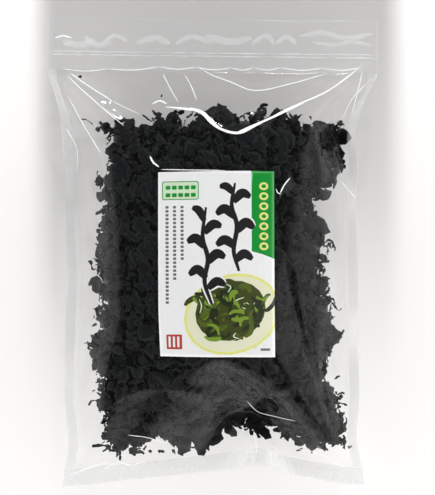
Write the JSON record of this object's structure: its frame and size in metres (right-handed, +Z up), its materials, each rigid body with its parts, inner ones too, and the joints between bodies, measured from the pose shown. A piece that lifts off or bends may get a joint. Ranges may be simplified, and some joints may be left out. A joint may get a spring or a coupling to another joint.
{
  "type": "zip pouch of dried cut wakame",
  "caption": "Clear zip-top pouch of dried cut wakame seaweed with a paper label, lying on its back with the label up.",
  "frame": {"origin": "on the surface that the pouch lies on, under the middle of its bounding box", "axes": "+X to the pouch's right and +Y along it towards its zip end, seen from above with the label up; +Z up, out of the label"},
  "size_m": [0.2004, 0.2846, 0.0586],
  "materials": {
    "clear_film": "clear glossy film with crisp white creases",
    "label_paper": "coated white paper with a slight gloss, printed in green, yellow, black and red",
    "zip_plastic": "clear ridges of a press-to-close zip",
    "dried_wakame": "crinkled dry leaf, near black with green edges and small highlights"
  },
  "bodies": {
    "root": {"pouch": "clear_film", "label": "label_paper"}
  },
  "joints": []
}
